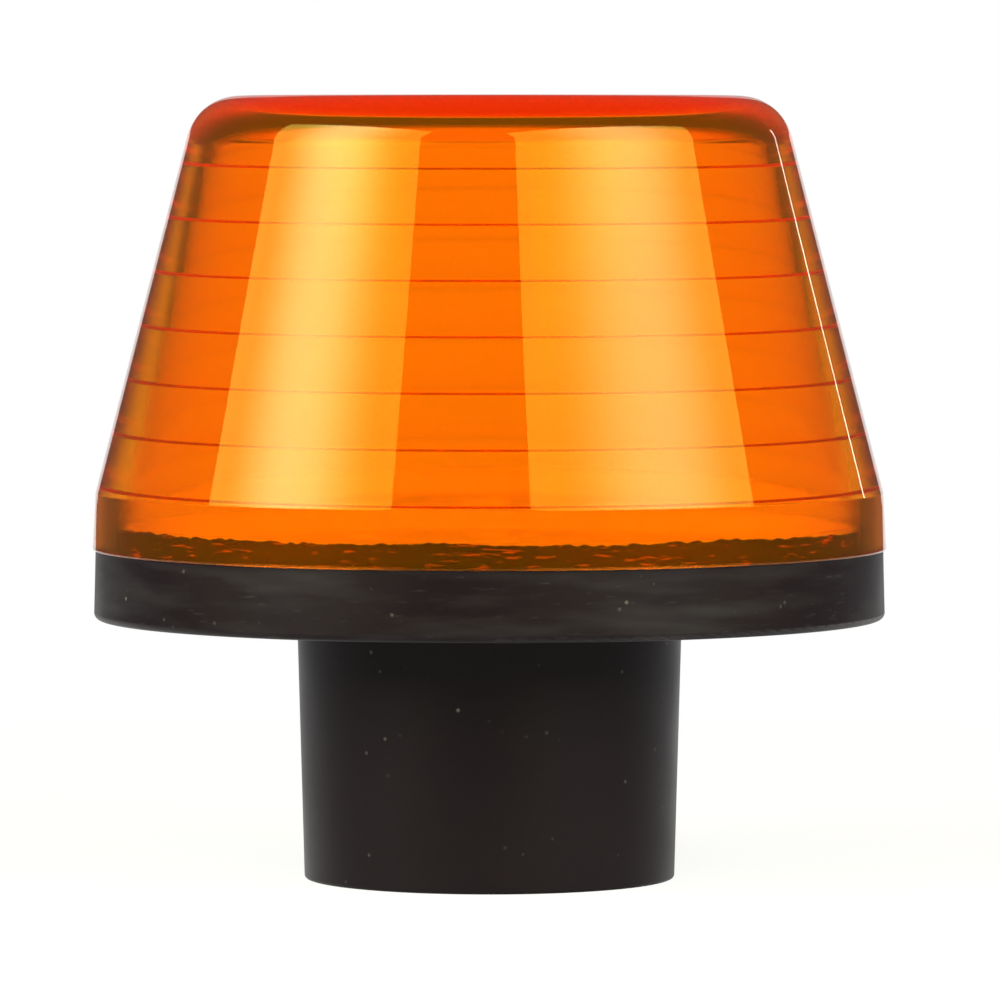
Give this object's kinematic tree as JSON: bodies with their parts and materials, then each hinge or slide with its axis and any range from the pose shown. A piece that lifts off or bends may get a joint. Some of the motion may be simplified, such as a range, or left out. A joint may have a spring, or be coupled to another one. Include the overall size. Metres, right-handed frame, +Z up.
{
  "type": "warning lamp",
  "caption": "Orange battery warning lamp: stepped conical lens on a black base, tapered spigot below that plugs into a post, screwed battery cap with push button.",
  "frame": {"origin": "centre of the spigot's lower end, at the base of the whole lamp", "axes": "+Z up along the lamp's axis, +X and +Y level; the grip bar of the cap lies along X"},
  "size_m": [0.1204, 0.1204, 0.1187],
  "materials": {
    "base_black": "moulded black plastic, slightly satin",
    "lens_orange": "clear orange, polished",
    "sealant": "dark cured sealant",
    "reflector_white": "white, moulded",
    "board_white": "white circuit board",
    "chip_ceramic": "white ceramic",
    "chip_dome": "clear silicone",
    "screw_steel": "zinc plated",
    "chip_black": "black epoxy",
    "coil_grey": "ferrite",
    "capacitor_tan": "ceramic",
    "magazine_grey": "moulded grey plastic",
    "cell_metal": "bare can",
    "contact_brass": "plated",
    "lead_red": "insulated wire",
    "lead_black": "insulated wire",
    "disc_green": "green circuit board",
    "seal_rubber": "black rubber",
    "button_grey": "grey rubber-coated"
  },
  "bodies": {
    "housing": {"base_housing": "base_black", "lens": "lens_orange", "lens_sealant": "sealant", "reflector": "reflector_white", "led_board": "board_white", "led_packages": "chip_ceramic", "led_domes": "chip_dome", "board_screws": "screw_steel", "driver_chip": "chip_black", "driver_inductor": "coil_grey", "driver_capacitors": "capacitor_tan", "driver_resistors": "chip_black", "cell_magazine": "magazine_grey", "magazine_screws": "screw_steel", "battery_cell_1": "cell_metal", "battery_cell_2": "cell_metal", "battery_cell_3": "cell_metal", "battery_cell_4": "cell_metal", "top_contacts": "contact_brass", "lead_positive": "lead_red", "lead_negative": "lead_black"},
    "contact_plate": {"contact_disc": "disc_green", "bridge_strips": "contact_brass", "contact_springs": "contact_brass", "slip_rings": "contact_brass"},
    "cap": {"battery_cap": "base_black", "cap_seal": "seal_rubber", "switch_board": "disc_green", "switch_body": "chip_black", "contact_pins": "contact_brass"},
    "button": {"push_button": "button_grey", "button_seal": "seal_rubber"}
  },
  "joints": [
    {"name": "cap_lift", "type": "slide", "parent": "housing", "child": "contact_plate", "axis": [0, 0, -1], "range_m": [0, 0.005]},
    {"name": "cap_turn", "type": "hinge", "parent": "contact_plate", "child": "cap", "pos_m": [0, 0, 0.001], "axis": [0, 0, 1], "range_deg": [0, 900]},
    {"name": "button_press", "type": "slide", "parent": "cap", "child": "button", "axis": [0, 0, 1], "range_m": [0, 0.0008], "stiffness_N_per_m": 3000, "springref_m": -0.0003}
  ],
  "couplings": [
    {"joint": "cap_lift", "follows": "cap_turn", "m_per_rad": 0.0003183}
  ]
}
